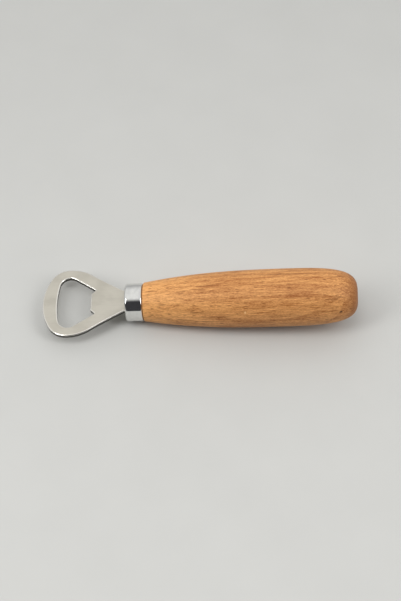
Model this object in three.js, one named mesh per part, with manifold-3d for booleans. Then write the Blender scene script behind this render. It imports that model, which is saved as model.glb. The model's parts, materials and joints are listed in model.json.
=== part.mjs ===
import * as THREE from 'three';
import { mergeVertices } from 'three/addons/utils/BufferGeometryUtils.js';
import Module from 'manifold-3d';

// A bottle opener with a turned wooden handle, in millimetres, +Z up.
//
// Every piece is drawn in the handle's own frame: X runs along the handle's axis from the front of the
// steel ring (x = 0) to the butt, Y runs across, and Z is square to the flat plate. The finished opener
// is then tipped to the angle at which it balances on its belly, and stood on z = 0.

// ---- Driving dimensions -------------------------------------------------------------------------

const gap = 0.3; // left between two pieces that touch

// steel plate: ring, tooth, neck and tang
const plateThickness = 2.0;
const plateRise = 0.8; // middle of the plate above the handle's axis
const headLength = 42.2; // front of the ring to the front of the ferrule
const headWidth = 40.4;
const headFrontRadius = 30.0;
const headCornerRadius = 10.7;
const headSideRadius = 20.3;
const flankHollow = 0.25; // how far each flank sags in from a straight line
const neckWidth = 11.8; // where the plate enters the ferrule
const tangWidth = 7.0;
const tangLength = 36.0;
const tangTipBevel = 1.8;

// cap hole and tooth
const frontRim = 7.4; // metal in front of the hole
const sideRim = 5.2; // metal beside the hole, where it is widest
const holeFrontRadius = 60.0;
const holeCornerRadius = 5.2;
const holeReach = 17.1; // front of the hole to the face of the tooth
const toothWidth = 10.0;
const toothHeight = 2.2; // face of the tooth to the bottom of a notch
const notchWidth = 2.1; // corner of the tooth to the bottom of a notch

// ferrule: a drawn cup, closed in front
const ferruleRadius = 9.55;
const ferruleLength = 9.0;
const ferruleWall = 0.9;
const ferruleFrontRounding = 1.3;
const ferruleRimRounding = 0.8;
const shoulderRoom = 2.4; // left inside the ferrule for the plate's shoulders

// handle
const gripLength = 107.4; // ferrule to butt
const gripStep = 0.2; // how far the wood stands proud of the ferrule
const gripEdgeRounding = 0.5;
const bellyRadius = 14.55;
const bellyAt = 66.5; // thickest place, from the front of the grip
const taperPower = 2.4; // how late the taper falls away from the belly
const buttPower = 3.7; // how square the butt is
const gripSides = 48; // flats round the grip, one of which faces straight down
const restAt = 26.1; // middle of the stretch that the opener rests on, from the front of the grip
const restLength = 14.0; // that stretch, which is straight so that the opener lies still on it
const boreEndRoom = 1.5; // bore beyond the tip of the tang
const drillPointAngle = 118.0;
const glueWall = 0.45; // least glue around the tang's corners

// ---- Places along the axis that more than one piece uses ----------------------------------------

const ferruleFront = headLength;
const ferruleBack = ferruleFront + ferruleLength;
const gripFront = ferruleBack + gap;
const spigotFace = ferruleFront + ferruleWall + shoulderRoom;
const neckEnd = ferruleFront + ferruleWall + gap;
const tangStart = spigotFace - gap;
const tangEnd = tangStart + tangLength;
const restFront = restAt - restLength / 2;
const restBack = restAt + restLength / 2;

const tangCorner = Math.hypot(tangWidth / 2 + gap, plateRise + plateThickness / 2 + gap);
const glueRadius = tangCorner + glueWall;
const boreRadius = glueRadius + gap;

// ---- Drawing helpers ----------------------------------------------------------------------------

const point = (x, y) => new THREE.Vector2(x, y);
const degrees = THREE.MathUtils.degToRad;

// Points along an arc, a step at least every 7 degrees; angles run from +X towards +Y.
function arc(centre, radius, start, end, step = degrees(7)) {
  const steps = Math.ceil(Math.abs(end - start) / step);
  const points = [];
  for (let i = 0; i <= steps; i += 1) {
    const angle = THREE.MathUtils.lerp(start, end, i / steps);
    points.push(point(centre.x + radius * Math.cos(angle), centre.y + radius * Math.sin(angle)));
  }
  return points;
}

// Points from a to b along a shallow arc that sags by the given amount to the right of the way there.
function sagging(a, b, sag, steps) {
  const chord = b.clone().sub(a);
  const right = point(chord.y, -chord.x).normalize();
  const points = [];
  for (let i = 1; i < steps; i += 1) {
    const t = i / steps;
    const fall = 4 * t * (1 - t) * sag;
    points.push(a.clone().lerp(b, t).addScaledVector(right, fall));
  }
  points.push(b.clone());
  return points;
}

// The angle on a circle where a line from an outside point touches it, on the +Y side of the circle
// for a point that lies in the +X direction from it.
function touchAngle(centre, radius, outside) {
  const away = outside.clone().sub(centre);
  return Math.atan2(away.y, away.x) + Math.acos(radius / away.length());
}

// Drops a point that repeats the one before it, so that an outline has no zero-length side.
function withoutRepeats(points) {
  return points.filter((p, i) => i === 0 || p.distanceTo(points[i - 1]) > 1e-4);
}

// A closed counter-clockwise outline, symmetric about the X axis, from its upper half, which starts
// on the axis and runs clockwise.
function mirrored(upperHalf) {
  const lowerHalf = upperHalf.filter((p) => p.y > 1e-4).map((p) => point(p.x, -p.y));
  return withoutRepeats([...upperHalf, ...lowerHalf.reverse()]).reverse();
}

// ---- Solids -------------------------------------------------------------------------------------

const wasm = await Module();
wasm.setup();

function solidFrom(geometry) {
  geometry.deleteAttribute('normal');
  geometry.deleteAttribute('uv');
  const merged = mergeVertices(geometry, 1e-5);
  const corners = merged.index.array;
  const kept = [];
  for (let i = 0; i < corners.length; i += 3) {
    const [a, b, c] = corners.slice(i, i + 3);
    if (a !== b && b !== c && c !== a) kept.push(a, b, c);
  }
  const vertProperties = new Float32Array(merged.attributes.position.array);
  const triVerts = new Uint32Array(kept);
  return new wasm.Manifold(new wasm.Mesh({ numProp: 3, vertProperties, triVerts }));
}

function geometryFrom(solid) {
  const { vertProperties, triVerts } = solid.getMesh();
  const geometry = new THREE.BufferGeometry();
  geometry.setAttribute('position', new THREE.BufferAttribute(vertProperties, 3));
  geometry.setIndex(new THREE.BufferAttribute(triVerts, 1));
  geometry.computeVertexNormals();
  return geometry;
}

// A solid turned about the X axis from a profile of (x along the axis, y from the axis), which starts
// on the axis, goes round the outside and ends on the axis. One flat of it faces straight down.
function turned(profile, sides) {
  const towardsButt = profile.map((p) => point(Math.max(p.y, 0), p.x));
  const geometry = new THREE.LatheGeometry(towardsButt, sides, Math.PI / sides);
  geometry.rotateZ(-Math.PI / 2);
  return solidFrom(geometry);
}

// A box between two distances along the axis, centred on the plate's level.
function boxOnPlate(start, end, width, height) {
  const geometry = new THREE.BoxGeometry(end - start, width, height);
  geometry.translate((start + end) / 2, 0, plateRise);
  return solidFrom(geometry);
}

// ---- Steel plate --------------------------------------------------------------------------------

// The side arc, whose end carries the flank on to the neck.
function headSide(cornerCentre) {
  const centre = point(cornerCentre.x, headWidth / 2 - headSideRadius);
  const neck = point(ferruleFront, neckWidth / 2);
  return arc(centre, headSideRadius, Math.PI / 2, touchAngle(centre, headSideRadius, neck));
}

function plateOutline() {
  const front = point(headFrontRadius, 0);
  const cornerHeight = headWidth / 2 - headCornerRadius;
  const reach = Math.sqrt((headFrontRadius - headCornerRadius) ** 2 - cornerHeight ** 2);
  const corner = point(headFrontRadius - reach, cornerHeight);
  const frontTurn = Math.PI - Math.atan2(cornerHeight, reach);
  const side = headSide(corner);
  const neck = point(ferruleFront, neckWidth / 2);
  const flank = sagging(side[side.length - 1], neck, flankHollow, 4);
  return mirrored([
    ...arc(front, headFrontRadius, Math.PI, frontTurn),
    ...arc(corner, headCornerRadius, frontTurn, Math.PI / 2),
    ...side,
    ...flank,
    point(neckEnd, neckWidth / 2),
    point(tangStart, tangWidth / 2),
    point(tangEnd - tangTipBevel, tangWidth / 2),
    point(tangEnd, tangWidth / 2 - tangTipBevel),
  ]);
}

function holeOutline() {
  const toothFace = frontRim + holeReach;
  const notch = point(toothFace + toothHeight, toothWidth / 2 + notchWidth);
  const front = point(frontRim + holeFrontRadius, 0);
  const cornerHeight = headWidth / 2 - sideRim - holeCornerRadius;
  const reach = Math.sqrt((holeFrontRadius - holeCornerRadius) ** 2 - cornerHeight ** 2);
  const corner = point(front.x - reach, cornerHeight);
  const frontTurn = Math.PI - Math.atan2(cornerHeight, reach);
  return mirrored([
    ...arc(front, holeFrontRadius, Math.PI, frontTurn),
    ...arc(corner, holeCornerRadius, frontTurn, touchAngle(corner, holeCornerRadius, notch)),
    notch,
    point(toothFace, toothWidth / 2),
  ]);
}

function openerPlate() {
  const shape = new THREE.Shape(plateOutline());
  shape.holes.push(new THREE.Path(holeOutline()));
  const geometry = new THREE.ExtrudeGeometry(shape, { depth: plateThickness, bevelEnabled: false });
  geometry.translate(0, 0, plateRise - plateThickness / 2);
  return solidFrom(geometry);
}

// ---- Ferrule ------------------------------------------------------------------------------------

function ferrule() {
  const innerRadius = ferruleRadius - ferruleWall;
  const frontEdge = point(ferruleFront + ferruleFrontRounding, ferruleRadius - ferruleFrontRounding);
  const rimEdge = point(ferruleBack - ferruleRimRounding, ferruleRadius - ferruleRimRounding);
  const cup = turned(
    [
      point(ferruleFront, 0),
      ...arc(frontEdge, ferruleFrontRounding, Math.PI, Math.PI / 2, degrees(18)),
      ...arc(rimEdge, ferruleRimRounding, Math.PI / 2, 0, degrees(18)),
      point(ferruleBack, innerRadius),
      point(ferruleFront + ferruleWall, innerRadius),
      point(ferruleFront + ferruleWall, 0),
    ],
    48,
  );
  const slot = boxOnPlate(
    ferruleFront - gap,
    ferruleFront + ferruleWall + gap,
    neckWidth + 2 * gap,
    plateThickness + 2 * gap,
  );
  return cup.subtract(slot);
}

// ---- Handle -------------------------------------------------------------------------------------

// The grip's radius, a distance behind its front: a taper that swells to the belly, then a squarish
// superellipse that closes the butt.
function gripRadius(distance) {
  const frontRadius = ferruleRadius + gripStep;
  if (distance < bellyAt) {
    const ahead = (bellyAt - distance) / bellyAt;
    return bellyRadius - (bellyRadius - frontRadius) * ahead ** taperPower;
  }
  const behind = (distance - bellyAt) / (gripLength - bellyAt);
  return bellyRadius * Math.max(0, 1 - behind ** buttPower) ** (1 / buttPower);
}

// Distances from start to end in equal steps, without the start.
function stops(start, end, steps) {
  return Array.from({ length: steps }, (_, i) => THREE.MathUtils.lerp(start, end, (i + 1) / steps));
}

function gripProfile() {
  const taper = [
    gripEdgeRounding,
    ...stops(gripEdgeRounding, restFront, 4),
    restBack,
    ...stops(restBack, bellyAt, 6),
  ];
  const points = taper.map((distance) => point(gripFront + distance, gripRadius(distance)));
  const buttSteps = 18;
  for (let i = 1; i < buttSteps; i += 1) {
    const angle = (i / buttSteps) * (Math.PI / 2);
    const radius = bellyRadius * Math.cos(angle) ** (2 / buttPower);
    const behind = Math.sin(angle) ** (2 / buttPower);
    points.push(point(gripFront + bellyAt + behind * (gripLength - bellyAt), radius));
  }
  points.push(point(gripFront + gripLength, 0));
  return points;
}

function handle() {
  const spigotRadius = ferruleRadius - ferruleWall - gap;
  const drillPoint = boreRadius / Math.tan(degrees(drillPointAngle / 2));
  return turned(
    [
      point(tangEnd + boreEndRoom + drillPoint, 0),
      point(tangEnd + boreEndRoom, boreRadius),
      point(spigotFace, boreRadius),
      point(spigotFace, spigotRadius),
      point(gripFront, spigotRadius),
      point(gripFront, ferruleRadius + gripStep - gripEdgeRounding),
      ...gripProfile(),
    ],
    gripSides,
  );
}

// ---- Glue ---------------------------------------------------------------------------------------

function tangAdhesive() {
  const plug = turned(
    [
      point(spigotFace, 0),
      point(spigotFace, glueRadius),
      point(tangEnd + boreEndRoom - gap, glueRadius),
      point(tangEnd + boreEndRoom - gap, 0),
    ],
    24,
  );
  const tang = boxOnPlate(
    spigotFace - gap,
    tangEnd + gap,
    tangWidth + 2 * gap,
    plateThickness + 2 * gap,
  );
  return plug.subtract(tang);
}

// ---- Assembly -----------------------------------------------------------------------------------

const satinSteel = { color: 0xc1bcae, roughness: 0.38, metalness: 1.0 };
const polishedNickel = { color: 0xd6d6d2, roughness: 0.12, metalness: 1.0 };
const oiledWood = { color: 0xc88c52, roughness: 0.55, metalness: 0.0 };
const amberGlue = { color: 0xd8b878, roughness: 0.4, metalness: 0.0 };

function part(name, solid, finish) {
  const mesh = new THREE.Mesh(geometryFrom(solid), new THREE.MeshStandardMaterial(finish));
  mesh.name = name;
  return mesh;
}

const opener = new THREE.Group();
opener.add(part('opener_plate', openerPlate(), satinSteel));
opener.add(part('ferrule', ferrule(), polishedNickel));
opener.add(part('handle', handle(), oiledWood));
opener.add(part('tang_adhesive', tangAdhesive(), amberGlue));

// Tip it until the straight stretch of the flat that faces down is level.
const restRise = (gripRadius(restBack) - gripRadius(restFront)) * Math.cos(Math.PI / gripSides);
opener.rotation.y = -Math.atan2(restRise, restLength);

// Centre it over the origin, with its lowest point at z = 0.
const extent = new THREE.Box3().setFromObject(opener, true);
const middle = extent.getCenter(new THREE.Vector3());
opener.position.set(-middle.x, -middle.y, -extent.min.z);

const model = new THREE.Group();
model.add(opener);

export default model;
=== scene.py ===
"""A bottle opener with a steel head and a turned wooden handle, lying on a pale table in soft light."""

import json
import math

import bmesh
import bpy
from mathutils import Matrix, Vector, noise
from mathutils.geometry import tessellate_polygon


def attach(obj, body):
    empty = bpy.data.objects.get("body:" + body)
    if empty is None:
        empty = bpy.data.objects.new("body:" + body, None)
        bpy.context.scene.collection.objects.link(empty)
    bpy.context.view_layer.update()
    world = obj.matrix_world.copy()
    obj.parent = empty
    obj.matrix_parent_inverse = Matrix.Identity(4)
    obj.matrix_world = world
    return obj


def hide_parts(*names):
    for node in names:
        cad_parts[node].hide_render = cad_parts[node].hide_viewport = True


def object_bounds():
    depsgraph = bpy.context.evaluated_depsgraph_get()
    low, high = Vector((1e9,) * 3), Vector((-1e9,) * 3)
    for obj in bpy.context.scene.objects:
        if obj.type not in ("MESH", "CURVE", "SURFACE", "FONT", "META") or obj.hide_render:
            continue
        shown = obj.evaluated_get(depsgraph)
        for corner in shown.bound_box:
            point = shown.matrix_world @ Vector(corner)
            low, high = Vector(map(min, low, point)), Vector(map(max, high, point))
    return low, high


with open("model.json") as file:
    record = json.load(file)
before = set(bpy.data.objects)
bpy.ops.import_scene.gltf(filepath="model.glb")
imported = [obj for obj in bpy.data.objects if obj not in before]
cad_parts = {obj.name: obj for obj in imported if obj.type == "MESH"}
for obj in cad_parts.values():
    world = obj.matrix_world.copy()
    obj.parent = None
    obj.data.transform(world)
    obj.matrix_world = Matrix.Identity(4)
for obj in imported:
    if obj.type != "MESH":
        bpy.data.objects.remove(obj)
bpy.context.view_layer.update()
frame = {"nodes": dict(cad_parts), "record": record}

# ---- Driving dimensions, in millimetres, in the handle's own frame ---------------------------------
# X runs along the handle's axis from the front of the ring, Y across, Z square to the plate.
# The largest lengths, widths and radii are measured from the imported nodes, further down. The sizes here
# are those of the CAD model's smaller shapes, and of the details that it leaves out.

MM = 0.001

HEAD_FRONT_RADIUS = 30.0
HEAD_CORNER_RADIUS = 10.7
HEAD_SIDE_RADIUS = 20.3
FLANK_HOLLOW = 0.25
NECK_WIDTH = 11.8
TANG_WIDTH = 7.0
TANG_TIP_BEVEL = 1.8
STAMPED_WIDTH = 0.85  # the plate's top edge, where the punch drew it in, is as wide as this
STAMPED_DEPTH = 0.5  # and as deep as this
BURR_EDGE = 0.15  # rounding of its lower edge

FRONT_RIM = 7.4
SIDE_RIM = 5.2
HOLE_FRONT_RADIUS = 60.0
HOLE_CORNER_RADIUS = 5.2
HOLE_REACH = 17.1
TOOTH_WIDTH = 10.0
TOOTH_HEIGHT = 2.2
NOTCH_WIDTH = 2.1
PUNCH_CORNER = 0.45  # corner radius of the punched hole, where its sides are long enough
CORNER_TURN = 20.0  # a bend of more degrees than this counts as a corner

FERRULE_WALL = 0.9
FERRULE_FRONT_ROUNDING = 1.3
FERRULE_RIM_ROUNDING = 0.8
FERRULE_LIP = 0.12  # bevel of the ferrule's inner edges
PLAY = 0.3  # the gap left between one piece and another
SLOT_ROUNDING = 0.5

GRIP_EDGE_ROUNDING = 0.5
BELLY_SHARE = 66.5 / 107.4  # thickest place, as a share of the grip's length
TAPER_POWER = 2.4
BUTT_POWER = 3.7
DRILL_POINT_ANGLE = math.radians(118.0)
SPIGOT_BEVEL = 0.3
SHOULDER = 0.5  # the grip stands out from the spigot by more than this
TURNING_WANDER = 0.05  # how far hand sanding strays from a true turned shape
SANDING_LENGTH = 17.0  # size of the waves it leaves, along the handle
SANDING_WIDTH = 8.0  # and across it
UNSANDED = 1.0  # length of the grip's front that sanding leaves true

FERRULE_SIDES = 128
HANDLE_SIDES = 160
SHARP_ANGLE = math.radians(40.0)  # edges sharper than this are shaded as edges
SAME_PLACE = 0.02  # points this near along the axis belong to one ring

# Where the finish and the painted light of the plate's wall change: depths under its top, and heights over
# its underside. The top band gets a painted highlight, the band under it a painted dark reflection.
BURNISHED_HIGHLIGHT_FROM = 0.01
BURNISHED_HIGHLIGHT_WHOLLY = 0.08
SHEARED_AND_PAINTED_DARK_FROM = 0.38
SHEARED_AND_PAINTED_DARK_WHOLLY = 0.62
UNDERSIDE_UP_TO = 0.02
WALL_FROM = 0.12

# Marks on the wood: the middle and the half lengths of each, and how strongly it shows.
# The pit is drawn only as a dark spot: painted shade of a hollow that the mesh doesn't have.
PAINTED_PIT_SHADE = ((150.3, -12.2, 3.3), (1.1, 1.0, 0.7), 0.95)
NICK = ((103.0, -12.9, 6.3), (0.5, 0.8, 0.9), 0.6)
STREAKS = (
    ((124.0, 4.4, 14.0), (27.0, 0.5, 3.0), 0.75),
    ((97.0, 4.6, 13.4), (13.0, 0.4, 3.0), 0.5),
    ((84.0, -0.9, 13.6), (9.0, 0.45, 3.0), 0.55),
    ((66.0, -0.6, 11.6), (8.0, 0.4, 3.0), 0.5),
    ((119.0, -2.3, 14.4), (15.0, 0.4, 3.0), 0.4),
    ((80.0, -11.5, 6.0), (9.0, 0.6, 0.7), 0.55),
    ((150.0, 5.5, 11.2), (6.0, 0.5, 3.0), 0.6),
)

# ---- Camera, table and studio ----------------------------------------------------------------------

# The camera looks at a point of the handle's frame, in millimetres. Its distance from it is in metres.
AIM = Vector((80.0, -0.2, 0.0))
CAMERA_AZIMUTH = 1.16
CAMERA_ELEVATION = 55.0
CAMERA_DISTANCE = 0.905
CAMERA_LENS = 107.8

TABLE_REACH = 6.0  # metres from its middle to its edge

# The studio's brightness, in linear light.
HIGH_SKY = (0.9, 0.9, 0.89, 1.0)
LOW_SKY = (0.5, 0.5, 0.5, 1.0)
VIEWER_SIDE = (0.05, 0.05, 0.055, 1.0)
BACKDROP = (0.6, 0.6, 0.59, 1.0)


# ---- The handle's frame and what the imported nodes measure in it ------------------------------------


def upright_turn():
    """The rotation from the handle's own axes to the row's, from the axis of the plate's top face."""
    mounts = {mount["name"]: mount for mount in frame["record"]["mounts"]}
    up = Vector(mounts["plate_top_face"]["axis"]).normalized()
    along = Vector((up.z, 0.0, -up.x))
    return Matrix((along, (0.0, 1.0, 0.0), up)).transposed().to_4x4()


def points_of(node, into):
    """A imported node's vertices, in millimetres, in another frame."""
    return [(into @ vertex.co) / MM for vertex in frame["nodes"][node].data.vertices]


def placed():
    """The handle's frame as a matrix, in metres: its origin is on the axis, level with the ring's front."""
    turn = upright_turn()
    front = min(point.x for point in points_of("opener_plate", turn.inverted()))
    heights = [point.z for point in points_of("handle", turn.inverted())]
    origin = Vector((front, 0.0, (min(heights) + max(heights)) / 2)) * MM
    return turn @ Matrix.Translation(origin)


PLACEMENT = placed()
TO_HANDLE = PLACEMENT.inverted()

plate_points = points_of("opener_plate", TO_HANDLE)
ferrule_points = points_of("ferrule", TO_HANDLE)
handle_points = points_of("handle", TO_HANDLE)
glue_points = points_of("tang_adhesive", TO_HANDLE)


def lowest(points, axis):
    """The least coordinate of the points on one axis."""
    return min(point[axis] for point in points)


def highest(points, axis):
    """The greatest coordinate of the points on one axis."""
    return max(point[axis] for point in points)


def radii(points):
    """The distance of each point from the axis."""
    return [math.hypot(p.y, p.z) for p in points]


def points_at(points, x):
    """The points at one place along the axis."""
    return [p for p in points if abs(p.x - x) < SAME_PLACE]


HEAD_WIDTH = 2 * highest(plate_points, 1)
PLATE_TOP = highest(plate_points, 2)
PLATE_UNDER = lowest(plate_points, 2)
TANG_END = highest(plate_points, 0)
FERRULE_FRONT = lowest(ferrule_points, 0)
FERRULE_BACK = highest(ferrule_points, 0)
FERRULE_RADIUS = max(radii(ferrule_points))
SPIGOT_FACE = lowest(handle_points, 0)
SPIGOT_RADIUS = max(radii(points_at(handle_points, SPIGOT_FACE)))
BORE_RADIUS = min(radii(points_at(handle_points, SPIGOT_FACE)))
BORE_END = highest(glue_points, 0) + PLAY
GRIP_FRONT = min(p.x for p in handle_points if math.hypot(p.y, p.z) > SPIGOT_RADIUS + SHOULDER)
GRIP_BACK = highest(handle_points, 0)
GRIP_LENGTH = GRIP_BACK - GRIP_FRONT
BELLY_RADIUS = max(radii(handle_points))
BELLY_AT = BELLY_SHARE * GRIP_LENGTH
GRIP_FRONT_RADIUS = max(radii(points_at(handle_points, GRIP_FRONT))) + GRIP_EDGE_ROUNDING
NECK_END = FERRULE_FRONT + FERRULE_WALL + PLAY
TANG_START = SPIGOT_FACE - PLAY


# ---- Outlines --------------------------------------------------------------------------------------


def arc(centre, radius, start, end, step=3.0):
    """Points along an arc, at most that many degrees apart."""
    steps = max(2, math.ceil(abs(math.degrees(end - start)) / step))
    points = []
    for i in range(steps + 1):
        angle = start + (end - start) * i / steps
        points.append(centre + radius * Vector((math.cos(angle), math.sin(angle))))
    return points


def sagging(start, end, sag, steps):
    """Points from start to end along a shallow curve that sags to the right of the way there."""
    way = end - start
    right = Vector((way.y, -way.x)).normalized()
    points = []
    for i in range(1, steps + 1):
        t = i / steps
        points.append(start + way * t + right * (4 * t * (1 - t) * sag))
    return points


def touch_angle(centre, radius, outside):
    """Where a line from an outside point touches a circle, on its +Y side."""
    away = outside - centre
    return math.atan2(away.y, away.x) + math.acos(radius / away.length)


def corner_circle(front_x, front_radius, corner_radius, height):
    """The centre of a corner arc that runs on from a front arc, and the angle where they meet.

    The front arc is centred on the axis at front_x, and the corner arc at that height over the axis.
    """
    reach = math.sqrt((front_radius - corner_radius) ** 2 - height**2)
    return Vector((front_x - reach, height)), math.pi - math.atan2(height, reach)


def mirrored(upper_half):
    """A closed counter-clockwise outline from its clockwise upper half, which starts on the axis."""
    lower_half = [Vector((p.x, -p.y)) for p in reversed(upper_half) if p.y > 1e-4]
    outline = []
    for point in upper_half + lower_half:
        if not outline or (point - outline[-1]).length > 1e-4:
            outline.append(point)
    return outline[::-1]


def rounded(outline, radius):
    """The outline with a curve at each corner that starts and ends where an arc of that radius would."""
    longest_cut = 0.45  # share of a side that a curve may take at either end
    points = []
    for i, corner in enumerate(outline):
        before = corner - outline[i - 1]
        after = outline[(i + 1) % len(outline)] - corner
        turn = before.angle_signed(after)
        if abs(math.degrees(turn)) < CORNER_TURN:
            points.append(corner)
            continue
        cut = min(radius * math.tan(abs(turn) / 2), longest_cut * min(before.length, after.length))
        start = corner - before.normalized() * cut
        end = corner + after.normalized() * cut
        for t in (0.0, 0.2, 0.4, 0.6, 0.8, 1.0):
            points.append(start * (1 - t) ** 2 + corner * (2 * t * (1 - t)) + end * t**2)
    return points


def offset(outline, distance):
    """The outline moved to its left by a distance, with mitred corners."""
    mitre_limit = 0.5  # so that a mitre reaches out to twice the distance at most
    moved = []
    for i, point in enumerate(outline):
        before = (point - outline[i - 1]).normalized()
        after = (outline[(i + 1) % len(outline)] - point).normalized()
        left_before = Vector((-before.y, before.x))
        left = (left_before + Vector((-after.y, after.x))).normalized()
        moved.append(point + left * (distance / max(left.dot(left_before), mitre_limit)))
    return moved


def plate_outline():
    """The plate from the front of the ring, round its sides and down the neck, to the tip of the tang."""
    front_x = HEAD_FRONT_RADIUS
    corner, front_turn = corner_circle(
        front_x, HEAD_FRONT_RADIUS, HEAD_CORNER_RADIUS, HEAD_WIDTH / 2 - HEAD_CORNER_RADIUS
    )
    side_centre = Vector((corner.x, HEAD_WIDTH / 2 - HEAD_SIDE_RADIUS))
    neck = Vector((FERRULE_FRONT, NECK_WIDTH / 2))
    flank_turn = touch_angle(side_centre, HEAD_SIDE_RADIUS, neck)
    side = arc(side_centre, HEAD_SIDE_RADIUS, math.pi / 2, flank_turn)
    tang = [
        Vector((NECK_END, NECK_WIDTH / 2)),
        Vector((TANG_START, TANG_WIDTH / 2)),
        Vector((TANG_END - TANG_TIP_BEVEL, TANG_WIDTH / 2)),
        Vector((TANG_END, TANG_WIDTH / 2 - TANG_TIP_BEVEL)),
    ]
    return mirrored(
        arc(Vector((front_x, 0.0)), HEAD_FRONT_RADIUS, math.pi, front_turn, step=2.0)
        + arc(corner, HEAD_CORNER_RADIUS, front_turn, math.pi / 2)
        + side
        + sagging(side[-1], neck, FLANK_HOLLOW, steps=12)
        + tang
    )


def hole_outline():
    """The cap hole, with the tooth that lifts the cap and a notch on each side of it."""
    tooth_face = FRONT_RIM + HOLE_REACH
    notch = Vector((tooth_face + TOOTH_HEIGHT, TOOTH_WIDTH / 2 + NOTCH_WIDTH))
    front_x = FRONT_RIM + HOLE_FRONT_RADIUS
    corner, front_turn = corner_circle(
        front_x,
        HOLE_FRONT_RADIUS,
        HOLE_CORNER_RADIUS,
        HEAD_WIDTH / 2 - SIDE_RIM - HOLE_CORNER_RADIUS,
    )
    flank_turn = touch_angle(corner, HOLE_CORNER_RADIUS, notch)
    outline = mirrored(
        arc(Vector((front_x, 0.0)), HOLE_FRONT_RADIUS, math.pi, front_turn, step=1.0)
        + arc(corner, HOLE_CORNER_RADIUS, front_turn, flank_turn)
        + [notch, Vector((tooth_face, TOOTH_WIDTH / 2))]
    )
    return rounded(outline, PUNCH_CORNER)


# ---- Meshes ----------------------------------------------------------------------------------------


def bridge(mesh, loop, other):
    """Four-sided faces between two closed loops of as many vertices."""
    for i in range(len(loop)):
        j = (i + 1) % len(loop)
        mesh.faces.new((loop[i], loop[j], other[j], other[i]))


def fill(mesh, *loops):
    """Flat faces inside the first loop and outside the others."""
    vertices = [vertex for loop in loops for vertex in loop]
    for triangle in tessellate_polygon([[vertex.co for vertex in loop] for loop in loops]):
        mesh.faces.new([vertices[i] for i in triangle])


def edge_levels():
    """(distance in from the outline, height) down the plate's wall, over its two rounded edges."""
    steps = 6
    levels = []
    for i in range(steps + 1):
        angle = math.pi / 2 * i / steps
        drop = STAMPED_DEPTH * (1 - math.cos(angle))
        levels.append((STAMPED_WIDTH * (1 - math.sin(angle)), PLATE_TOP - drop))
    for i in range(steps + 1):
        angle = math.pi / 2 * (1 - i / steps)
        lift = BURR_EDGE * (1 - math.cos(angle))
        levels.append((BURR_EDGE * (1 - math.sin(angle)), PLATE_UNDER + lift))
    return levels


def plate_mesh():
    """The stamped plate: a wall down its outline and one down its hole, and two flat faces between them."""
    mesh = bmesh.new()
    outlines = [plate_outline(), hole_outline()[::-1]]
    levels = edge_levels()
    ends = []
    for outline in outlines:
        loops = []
        for inwards, height in levels:
            line = offset(outline, inwards)
            loops.append([mesh.verts.new((p.x, p.y, height)) for p in line])
        for upper, lower in zip(loops, loops[1:]):
            bridge(mesh, upper, lower)
        ends.append((loops[0], loops[-1]))
    fill(mesh, ends[0][0], ends[1][0])
    fill(mesh, ends[0][1], ends[1][1])
    return mesh


def ring(mesh, x, radius, sides, stray=None):
    """A ring of vertices about the axis; stray gives how far each one lies from a true circle."""
    vertices = []
    for i in range(sides):
        angle = 2 * math.pi * i / sides
        spoke = Vector((0.0, math.sin(angle), math.cos(angle)))
        at = Vector((x, 0.0, 0.0)) + spoke * radius
        if stray:
            at += spoke * stray(at)
        vertices.append(mesh.verts.new(at))
    return vertices


def turned(mesh, profile, sides, stray=None):
    """Rings along a profile of (x, radius) joined one to the next. It returns the first and last ring."""
    rings = [ring(mesh, x, radius, sides, stray) for x, radius in profile]
    for near, far in zip(rings, rings[1:]):
        bridge(mesh, near, far)
    return rings[0], rings[-1]


def close_on_axis(mesh, loop, x):
    """A fan of faces from a ring to one point on the axis."""
    tip = mesh.verts.new((x, 0.0, 0.0))
    for i in range(len(loop)):
        mesh.faces.new((loop[i], loop[(i + 1) % len(loop)], tip))


def profile_arc(x, radius, rounding, start, end):
    """Points (x, radius) of a profile along an arc about the point given."""
    return [(p.x, p.y) for p in arc(Vector((x, radius)), rounding, start, end, step=9.0)]


def slot_outline():
    """The slot in the ferrule's front that the neck goes through, with play all round it."""
    half_width = NECK_WIDTH / 2 + PLAY
    corners = [
        Vector((-half_width, PLATE_UNDER - PLAY)),
        Vector((half_width, PLATE_UNDER - PLAY)),
        Vector((half_width, PLATE_TOP + PLAY)),
        Vector((-half_width, PLATE_TOP + PLAY)),
    ]
    return rounded(corners, SLOT_ROUNDING)


def ferrule_mesh():
    """The cup: a thin turned wall, closed in front but for the slot and open at the back."""
    mesh = bmesh.new()
    inner_radius = FERRULE_RADIUS - FERRULE_WALL
    front = FERRULE_FRONT_ROUNDING
    rim = FERRULE_RIM_ROUNDING
    lip = FERRULE_LIP
    profile = (
        profile_arc(FERRULE_FRONT + front, FERRULE_RADIUS - front, front, math.pi, math.pi / 2)
        + profile_arc(FERRULE_BACK - rim, FERRULE_RADIUS - rim, rim, math.pi / 2, 0.0)
        + [
            (FERRULE_BACK, inner_radius + lip),
            (FERRULE_BACK - lip, inner_radius),
            (FERRULE_FRONT + FERRULE_WALL + lip, inner_radius),
            (FERRULE_FRONT + FERRULE_WALL, inner_radius - lip),
        ]
    )
    outside, inside = turned(mesh, profile, FERRULE_SIDES)
    slot = slot_outline()
    mouth = [mesh.verts.new((FERRULE_FRONT, p.x, p.y)) for p in slot]
    throat = [mesh.verts.new((FERRULE_FRONT + FERRULE_WALL, p.x, p.y)) for p in slot]
    bridge(mesh, mouth, throat)
    fill(mesh, outside, mouth)
    fill(mesh, inside, throat)
    return mesh


def grip_radius(distance):
    """The grip's radius, a distance behind its front."""
    if distance < BELLY_AT:
        ahead = (BELLY_AT - distance) / BELLY_AT
        return BELLY_RADIUS - (BELLY_RADIUS - GRIP_FRONT_RADIUS) * ahead**TAPER_POWER
    behind = (distance - BELLY_AT) / (GRIP_LENGTH - BELLY_AT)
    return BELLY_RADIUS * max(0.0, 1 - behind**BUTT_POWER) ** (1 / BUTT_POWER)


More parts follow.
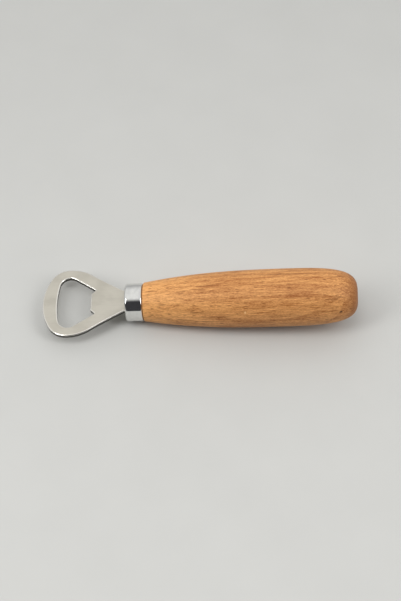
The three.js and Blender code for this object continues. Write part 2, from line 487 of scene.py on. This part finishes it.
def grip_profile():
    """(x, radius) along the grip, from its front face to just before the butt's tip."""
    edge = GRIP_EDGE_ROUNDING
    first = grip_radius(edge)
    points = profile_arc(GRIP_FRONT + edge, first - edge, edge, math.pi, math.pi / 2)
    taper_steps = 60
    for i in range(1, taper_steps + 1):
        distance = edge + (BELLY_AT - edge) * i / taper_steps
        points.append((GRIP_FRONT + distance, grip_radius(distance)))
    butt_steps = 72
    for i in range(1, butt_steps):
        angle = math.pi / 2 * i / butt_steps
        behind = math.sin(angle) ** (2 / BUTT_POWER)
        radius = BELLY_RADIUS * math.cos(angle) ** (2 / BUTT_POWER)
        points.append((GRIP_FRONT + BELLY_AT + behind * (GRIP_LENGTH - BELLY_AT), radius))
    return points


def sanding_stray(at):
    """How far sanding by hand moved the surface at a point: never outwards, and not beside the ferrule."""
    if at.x < GRIP_FRONT + UNSANDED:
        return 0.0
    slow = noise.noise(Vector((at.x / SANDING_LENGTH, at.y / SANDING_WIDTH, at.z / SANDING_WIDTH)))
    return TURNING_WANDER * (slow - 1.0) / 2


def handle_mesh():
    """The turned handle, from the bottom of its drilled hole, out over the spigot and along the grip."""
    mesh = bmesh.new()
    bore_point = BORE_END + BORE_RADIUS / math.tan(DRILL_POINT_ANGLE / 2)
    profile = [
        (BORE_END, BORE_RADIUS),
        (SPIGOT_FACE, BORE_RADIUS),
        (SPIGOT_FACE, SPIGOT_RADIUS - SPIGOT_BEVEL),
        (SPIGOT_FACE + SPIGOT_BEVEL, SPIGOT_RADIUS),
        (GRIP_FRONT, SPIGOT_RADIUS),
    ] + grip_profile()
    bore, butt = turned(mesh, profile, HANDLE_SIDES, sanding_stray)
    close_on_axis(mesh, bore, bore_point)
    close_on_axis(mesh, butt, GRIP_BACK)
    return mesh


# ---- Material helpers ------------------------------------------------------------------------------


def colour(code):
    """A linear colour from an sRGB hex code."""
    channels = [int(code[i : i + 2], 16) / 255 for i in (0, 2, 4)]
    linear = [c / 12.92 if c <= 0.04045 else ((c + 0.055) / 1.055) ** 2.4 for c in channels]
    return (*linear, 1.0)


def feed(tree, socket, value):
    """Set a socket to a value, or link another node's output to it."""
    if isinstance(value, bpy.types.NodeSocket):
        tree.links.new(value, socket)
    else:
        socket.default_value = value


def add(tree, kind, inputs, **settings):
    """A new node; each input is a value or another node's output."""
    node = tree.nodes.new(kind)
    for name, value in settings.items():
        setattr(node, name, value)
    for key, value in inputs.items():
        feed(tree, node.inputs[key], value)
    return node


def handle_place(tree):
    """The shaded point in the handle's frame, in millimetres, so that every pattern follows the handle."""
    here = tree.nodes.new("ShaderNodeTexCoord").outputs["Object"]
    inputs = {
        "Vector": here,
        "Location": PLACEMENT.to_translation(),
        "Rotation": PLACEMENT.to_euler(),
        "Scale": (MM, MM, MM),
    }
    return add(tree, "ShaderNodeMapping", inputs, vector_type="TEXTURE").outputs["Vector"]


def stretched(tree, vector, x, y, z, shift=(0.0, 0.0, 0.0)):
    """Each axis multiplied and then shifted, so that a pattern of size 1 becomes 1/x by 1/y by 1/z."""
    inputs = {"Vector": vector, "Scale": (x, y, z), "Location": shift}
    return add(tree, "ShaderNodeMapping", inputs).outputs["Vector"]


def noise_on(tree, vector, detail=2.0, roughness=0.5):
    """Noise from 0 to 1 whose largest waves have size 1 in the vector."""
    inputs = {"Vector": vector, "Scale": 1.0, "Detail": detail, "Roughness": roughness}
    return add(tree, "ShaderNodeTexNoise", inputs).outputs["Fac"]


def calculate(tree, operation, *values):
    """The result of one Math node."""
    return add(tree, "ShaderNodeMath", dict(enumerate(values)), operation=operation).outputs[0]


def remapped(tree, value, low, high, to_low=0.0, to_high=1.0, smooth=True):
    """The value taken from one range to another and clamped."""
    inputs = {"Value": value, "From Min": low, "From Max": high, "To Min": to_low, "To Max": to_high}
    kind = "SMOOTHSTEP" if smooth else "LINEAR"
    return add(tree, "ShaderNodeMapRange", inputs, interpolation_type=kind).outputs["Result"]


def blended(tree, share, first, second, mode="MIX"):
    """Two colours mixed by a share of the second."""
    node = add(tree, "ShaderNodeMix", {}, data_type="RGBA", blend_type=mode)
    share_socket, first_socket, second_socket = 0, 6, 7  # the sockets between them aren't for colours
    feed(tree, node.inputs[share_socket], share)
    feed(tree, node.inputs[first_socket], first)
    feed(tree, node.inputs[second_socket], second)
    return node.outputs[2]


def spot(tree, place, centre, size, strength):
    """A strength inside an ellipsoid of the handle's frame, which fades to 0 at its edge."""
    away = add(tree, "ShaderNodeVectorMath", {0: place, 1: centre}, operation="SUBTRACT").outputs["Vector"]
    scaled = add(tree, "ShaderNodeVectorMath", {0: away, 1: size}, operation="DIVIDE").outputs["Vector"]
    share = add(tree, "ShaderNodeVectorMath", {0: scaled}, operation="LENGTH").outputs["Value"]
    return remapped(tree, share, 0.4, 1.0, strength, 0.0)


def bumped(tree, height, distance):
    """A normal from a height, where 1 stands for that many millimetres."""
    inputs = {"Height": height, "Distance": distance * MM, "Strength": 1.0}
    return add(tree, "ShaderNodeBump", inputs).outputs["Normal"]


def new_material(name):
    """A new material, its node tree and its shader."""
    material = bpy.data.materials.new(name)
    material.use_nodes = True
    tree = material.node_tree
    return material, tree, tree.nodes["Principled BSDF"]


# ---- Materials -------------------------------------------------------------------------------------


def satin_steel():
    """Stamped sheet: fine rolling lines, tumbling marks, smoother top edges with a painted highlight, and
    rougher sheared walls with a painted dark reflection.
    """
    material, tree, shader = new_material("satin_steel")
    place = handle_place(tree)
    height = add(tree, "ShaderNodeSeparateXYZ", {0: place}).outputs["Z"]
    rolling = noise_on(tree, stretched(tree, place, 0.12, 7.0, 7.0), detail=4.0, roughness=0.65)
    tumbled = noise_on(tree, stretched(tree, place, 2.6, 2.6, 2.6), detail=5.0, roughness=0.7)
    cloudy = noise_on(tree, stretched(tree, place, 0.09, 0.13, 0.13), detail=3.0)
    tone = blended(tree, remapped(tree, cloudy, 0.35, 0.65), colour("C9C4B8"), colour("D4CFC3"))
    grain = remapped(tree, rolling, 0.3, 0.7, 0.93, 1.0)
    face = blended(tree, 1.0, tone, grain, "MULTIPLY")

    # The drawn-in edge is rubbed smoother and is painted brighter, a painted highlight.
    # The sheared wall under it is rougher and painted darker than the faces, a painted reflection of a dark
    # table, because the pale table that it mirrors would otherwise make it as light as they are.
    above_underside = remapped(tree, height, PLATE_UNDER + UNDERSIDE_UP_TO, PLATE_UNDER + WALL_FROM)
    # Painted highlight: this band of the top edge gets a brighter colour as well as a smoother finish.
    below_top = remapped(tree, height, PLATE_TOP - BURNISHED_HIGHLIGHT_WHOLLY, PLATE_TOP - BURNISHED_HIGHLIGHT_FROM, 1.0, 0.0)
    burnished_and_highlighted = calculate(tree, "MULTIPLY", below_top, above_underside)
    # Painted reflection: this band of the sheared wall gets a dark colour as well as a rougher finish.
    wall_top = remapped(tree, height, PLATE_TOP - SHEARED_AND_PAINTED_DARK_WHOLLY, PLATE_TOP - SHEARED_AND_PAINTED_DARK_FROM, 1.0, 0.0)
    wall = calculate(tree, "MULTIPLY", wall_top, above_underside)
    # Painted highlight colour on the rubbed top edge.
    highlighted_edge = blended(tree, burnished_and_highlighted, face, colour("F2EFE8"))
    shader.inputs["Metallic"].default_value = 1.0
    # Painted dark reflection colour on the sheared wall.
    tree.links.new(blended(tree, wall, highlighted_edge, colour("504E4B")), shader.inputs["Base Color"])

    satin = calculate(tree, "MULTIPLY_ADD", tumbled, 0.16, 0.30)
    rubbed = calculate(tree, "MULTIPLY_ADD", burnished_and_highlighted, -0.16, satin)
    tree.links.new(calculate(tree, "MULTIPLY_ADD", wall, 0.18, rubbed), shader.inputs["Roughness"])
    relief = calculate(tree, "MULTIPLY_ADD", rolling, 0.6, tumbled)
    tree.links.new(bumped(tree, relief, 0.006), shader.inputs["Normal"])
    return material


def polished_nickel():
    """Bright plated cup: faint lines round it from polishing, and slightly duller handled patches."""
    material, tree, shader = new_material("polished_nickel")
    place = handle_place(tree)
    lines = noise_on(tree, stretched(tree, place, 9.0, 0.35, 0.35), detail=3.0, roughness=0.6)
    patches = noise_on(tree, stretched(tree, place, 0.35, 0.22, 0.22), detail=4.0)
    tone = blended(tree, remapped(tree, patches, 0.3, 0.7), colour("DADAD8"), colour("E6E6E3"))
    shader.inputs["Metallic"].default_value = 1.0
    tree.links.new(tone, shader.inputs["Base Color"])
    rough = calculate(tree, "MULTIPLY_ADD", lines, 0.05, 0.05)
    dulled = calculate(tree, "MULTIPLY_ADD", remapped(tree, patches, 0.45, 0.75), 0.03, rough)
    tree.links.new(dulled, shader.inputs["Roughness"])
    tree.links.new(bumped(tree, lines, 0.0012), shader.inputs["Normal"])
    return material


def growth_rings(tree, place):
    """Rings of late wood, from 0 to 1, about a pith that lies behind the handle and a little below it."""
    pith_to_origin = (0.0, -58.0, 17.0)
    ring_width = 3.1
    sway = noise_on(tree, stretched(tree, place, 0.012, 0.05, 0.05), detail=2.0)
    across = stretched(tree, place, 0.035, 1.0, 1.0, shift=pith_to_origin)
    distance = add(tree, "ShaderNodeVectorMath", {0: across}, operation="LENGTH").outputs["Value"]
    swayed = calculate(tree, "MULTIPLY_ADD", sway, 9.0, distance)
    ring_place = calculate(tree, "FRACT", calculate(tree, "DIVIDE", swayed, ring_width))
    late_wood = remapped(tree, ring_place, 0.35, 0.95)
    ring_end = remapped(tree, ring_place, 0.95, 1.0, 1.0, 0.0)
    return calculate(tree, "MULTIPLY", late_wood, ring_end)


def open_pores(tree, place):
    """Long thin cells cut open, as dashes on the sides and as dots on the end, from 0 to 1."""
    inputs = {"Vector": stretched(tree, place, 0.23, 1.25, 1.25), "Scale": 1.0, "Randomness": 1.0}
    cell = add(tree, "ShaderNodeTexVoronoi", inputs)
    chosen = add(tree, "ShaderNodeSeparateColor", {"Color": cell.outputs["Color"]}).outputs[0]
    open_cell = remapped(tree, chosen, 0.55, 0.75)
    shape = remapped(tree, cell.outputs["Distance"], 0.1, 0.36, 1.0, 0.0)
    return calculate(tree, "MULTIPLY", open_cell, shape)


def wood_lightness(tree, place, along, fibres):
    """Light and dark wood from 0 to 1: fibres from coarse to fine, slow changes, rings, a paler front."""
    strands = noise_on(tree, stretched(tree, place, 0.05, 0.8, 0.8), detail=3.0, roughness=0.6)
    specks = noise_on(tree, stretched(tree, place, 0.9, 2.6, 2.6), detail=2.0, roughness=0.7)
    clouds = noise_on(tree, stretched(tree, place, 0.03, 0.09, 0.09), detail=2.0)
    pale_front = remapped(tree, along, GRIP_FRONT, GRIP_FRONT + 45.0, 0.16, 0.0)
    tone = calculate(tree, "MULTIPLY_ADD", strands, 0.65, pale_front)
    tone = calculate(tree, "ADD", fibres, tone)
    tone = calculate(tree, "MULTIPLY_ADD", specks, 0.75, tone)
    tone = calculate(tree, "MULTIPLY_ADD", clouds, 0.3, tone)
    tone = calculate(tree, "MULTIPLY_ADD", growth_rings(tree, place), -0.09, tone)
    return remapped(tree, tone, 1.02, 1.62, smooth=False)


def marked(tree, place, wood, fibres):
    """The wood's colour with its clear streaks, which the fibres break up, the painted shade of its pit,
    and its nick.
    """
    broken_by_fibres = remapped(tree, fibres, 0.62, 0.42)
    for streak in STREAKS:
        strength = calculate(tree, "MULTIPLY", spot(tree, place, *streak), broken_by_fibres)
        wood = blended(tree, strength, wood, colour("6B3710"))
    # Painted shade where the pit is.
    wood = blended(tree, spot(tree, place, *PAINTED_PIT_SHADE), wood, colour("3E2410"))
    return blended(tree, spot(tree, place, *NICK), wood, colour("F3D29A"))


def oiled_wood():
    """Straight-grained brown wood under oil: fibres, pores, a few long streaks and faint growth rings."""
    material, tree, shader = new_material("oiled_wood")
    place = handle_place(tree)
    along = add(tree, "ShaderNodeSeparateXYZ", {0: place}).outputs["X"]
    fibres = noise_on(tree, stretched(tree, place, 0.14, 2.0, 2.0), detail=3.0, roughness=0.75)
    pores = open_pores(tree, place)
    streak_noise = noise_on(tree, stretched(tree, place, 0.012, 0.55, 0.55), detail=2.0)
    streaks = remapped(tree, streak_noise, 0.62, 0.72)
    butt_end = remapped(tree, along, GRIP_BACK - 9.0, GRIP_BACK - 0.5)  # darker towards the butt's end

    wood = blended(tree, wood_lightness(tree, place, along, fibres), colour("90501F"), colour("E8AA68"))
    wood = blended(tree, calculate(tree, "MULTIPLY", pores, 0.75), wood, colour("70380C"))
    wood = blended(tree, calculate(tree, "MULTIPLY", streaks, 0.5), wood, colour("6E3810"))
    wood = blended(tree, calculate(tree, "MULTIPLY", butt_end, 0.55), wood, colour("7A4017"))
    tree.links.new(marked(tree, place, wood, fibres), shader.inputs["Base Color"])

    shader.inputs["Specular IOR Level"].default_value = 0.35
    rough = calculate(tree, "MULTIPLY_ADD", fibres, 0.2, 0.44)
    tree.links.new(rough, shader.inputs["Roughness"])
    height = calculate(tree, "MULTIPLY_ADD", pores, -0.8, fibres)
    tree.links.new(bumped(tree, height, 0.06), shader.inputs["Normal"])
    return material


def amber_glue():
    """Hardened glue, amber and clouded by small bubbles."""
    material, tree, shader = new_material("amber_glue")
    place = handle_place(tree)
    clouds = noise_on(tree, stretched(tree, place, 0.4, 0.4, 0.4), detail=4.0)
    bubbles = add(tree, "ShaderNodeTexVoronoi", {"Vector": stretched(tree, place, 1.6, 1.6, 1.6)})
    dimples = remapped(tree, bubbles.outputs["Distance"], 0.0, 0.3)
    tone = blended(tree, clouds, colour("B98A4C"), colour("E3C48A"))
    tree.links.new(tone, shader.inputs["Base Color"])
    tree.links.new(calculate(tree, "MULTIPLY_ADD", clouds, 0.25, 0.2), shader.inputs["Roughness"])
    tree.links.new(bumped(tree, dimples, 0.04), shader.inputs["Normal"])
    return material


def pale_table():
    """A matt pale grey top, faintly mottled."""
    material, tree, shader = new_material("pale_table")
    here = tree.nodes.new("ShaderNodeTexCoord").outputs["Object"]
    mottle = noise_on(tree, stretched(tree, here, 30.0, 30.0, 30.0), detail=5.0)
    tree.links.new(blended(tree, mottle, colour("BFBFBC"), colour("C5C5C2")), shader.inputs["Base Color"])
    shader.inputs["Roughness"].default_value = 0.75
    shader.inputs["Specular IOR Level"].default_value = 0.2
    return material


# ---- Pieces ----------------------------------------------------------------------------------------


def piece(name, mesh, material, node):
    """A finished mesh, moved from the handle's frame to the row's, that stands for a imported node."""
    bmesh.ops.recalc_face_normals(mesh, faces=mesh.faces)
    bmesh.ops.transform(mesh, matrix=PLACEMENT @ Matrix.Scale(MM, 4), verts=mesh.verts)
    data = bpy.data.meshes.new(name)
    mesh.to_mesh(data)
    mesh.free()
    data.shade_smooth()
    data.set_sharp_from_angle(angle=SHARP_ANGLE)
    data.materials.append(material)
    made = bpy.data.objects.new(name, data)
    bpy.context.scene.collection.objects.link(made)
    weighted = made.modifiers.new("weighted_normals", "WEIGHTED_NORMAL")
    weighted.keep_sharp = True
    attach(made, "root")
    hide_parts(node)
    return made


def keep_node(node, material):
    """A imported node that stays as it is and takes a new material."""
    slots = frame["nodes"][node].data.materials
    slots.clear()
    slots.append(material)


def floor(height):
    """The table top at a height."""
    mesh = bmesh.new()
    bmesh.ops.create_grid(mesh, x_segments=4, y_segments=4, size=TABLE_REACH)
    data = bpy.data.meshes.new("table")
    mesh.to_mesh(data)
    mesh.free()
    data.materials.append(pale_table())
    made = bpy.data.objects.new("table", data)
    made.location = (0.0, 0.0, height)
    bpy.context.scene.collection.objects.link(made)


# ---- Light and camera ------------------------------------------------------------------------------


def toward(azimuth, elevation):
    """A unit vector from the object; azimuth 0 is toward the viewer and 90 toward +X, in degrees."""
    a, e = math.radians(azimuth), math.radians(elevation)
    return Vector((math.sin(a) * math.cos(e), -math.cos(a) * math.cos(e), math.sin(e)))


def aimed(made, place, target):
    """Put a light or camera in the scene at a place, looking at the target."""
    made.location = place
    made.rotation_mode = "QUATERNION"
    made.rotation_quaternion = (place - target).to_track_quat("Z", "Y")
    bpy.context.scene.collection.objects.link(made)


def soft_box(name, target, direction, distance, width, height, power, mirrored_in_metal=True):
    """A rectangular light that shines at the target from a direction, in metres and watts."""
    light = bpy.data.lights.new(name, "AREA")
    light.shape = "RECTANGLE"
    light.size = width
    light.size_y = height
    light.energy = power
    made = bpy.data.objects.new(name, light)
    made.visible_glossy = mirrored_in_metal
    aimed(made, target + direction * distance, target)


def studio_dome():
    """A world that is bright overhead, dimmer low behind, and dark on the viewer's side.

    That is what lights the object. Where the camera itself sees past the table, it is an even grey.
    """
    world = bpy.data.worlds.new("studio")
    world.use_nodes = True
    bpy.context.scene.world = world
    tree = world.node_tree
    background = tree.nodes["Background"]
    here = tree.nodes.new("ShaderNodeTexCoord").outputs["Generated"]
    lean = math.radians(22.0)
    bright_side = (0.0, math.cos(lean), math.sin(lean))
    facing = add(tree, "ShaderNodeVectorMath", {0: here, 1: bright_side}, operation="DOT_PRODUCT")
    share = remapped(tree, facing.outputs["Value"], -0.2, 0.2)
    height = add(tree, "ShaderNodeSeparateXYZ", {0: here}).outputs["Z"]
    sky = blended(tree, remapped(tree, height, 0.0, 0.75), LOW_SKY, HIGH_SKY)
    shade = blended(tree, share, VIEWER_SIDE, sky)
    seen = tree.nodes.new("ShaderNodeLightPath").outputs["Is Camera Ray"]
    tree.links.new(blended(tree, seen, shade, BACKDROP), background.inputs["Color"])


def studio_lights(target):
    """A soft key from above, left out of reflections, and an upright strip on each side."""
    key = {"distance": 1.2, "width": 0.5, "height": 0.5, "power": 2.6}
    strip = {"distance": 0.9, "width": 0.24, "height": 0.62}
    soft_box("key", target, toward(-30.0, 76.0), **key, mirrored_in_metal=False)
    soft_box("left_strip", target, toward(-62.0, 45.0), **strip, power=2.8)
    soft_box("right_strip", target, toward(64.0, 45.0), **strip, power=2.5)


def camera(target):
    """The camera that takes the photograph's view."""
    data = bpy.data.cameras.new("camera")
    data.sensor_width = 36.0
    data.lens = CAMERA_LENS
    data.clip_start = 0.05
    made = bpy.data.objects.new("camera", data)
    aimed(made, target + toward(CAMERA_AZIMUTH, CAMERA_ELEVATION) * CAMERA_DISTANCE, target)
    bpy.context.scene.camera = made


# ---- Scene -----------------------------------------------------------------------------------------

bpy.context.scene.view_settings.view_transform = "Standard"

piece("steel_head", plate_mesh(), satin_steel(), "opener_plate")
piece("ferrule_cup", ferrule_mesh(), polished_nickel(), "ferrule")
piece("turned_handle", handle_mesh(), oiled_wood(), "handle")
keep_node("tang_adhesive", amber_glue())

visual_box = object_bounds()
floor(visual_box[0].z)

aim = PLACEMENT @ (AIM * MM)
studio_dome()
studio_lights(aim)
camera(aim)
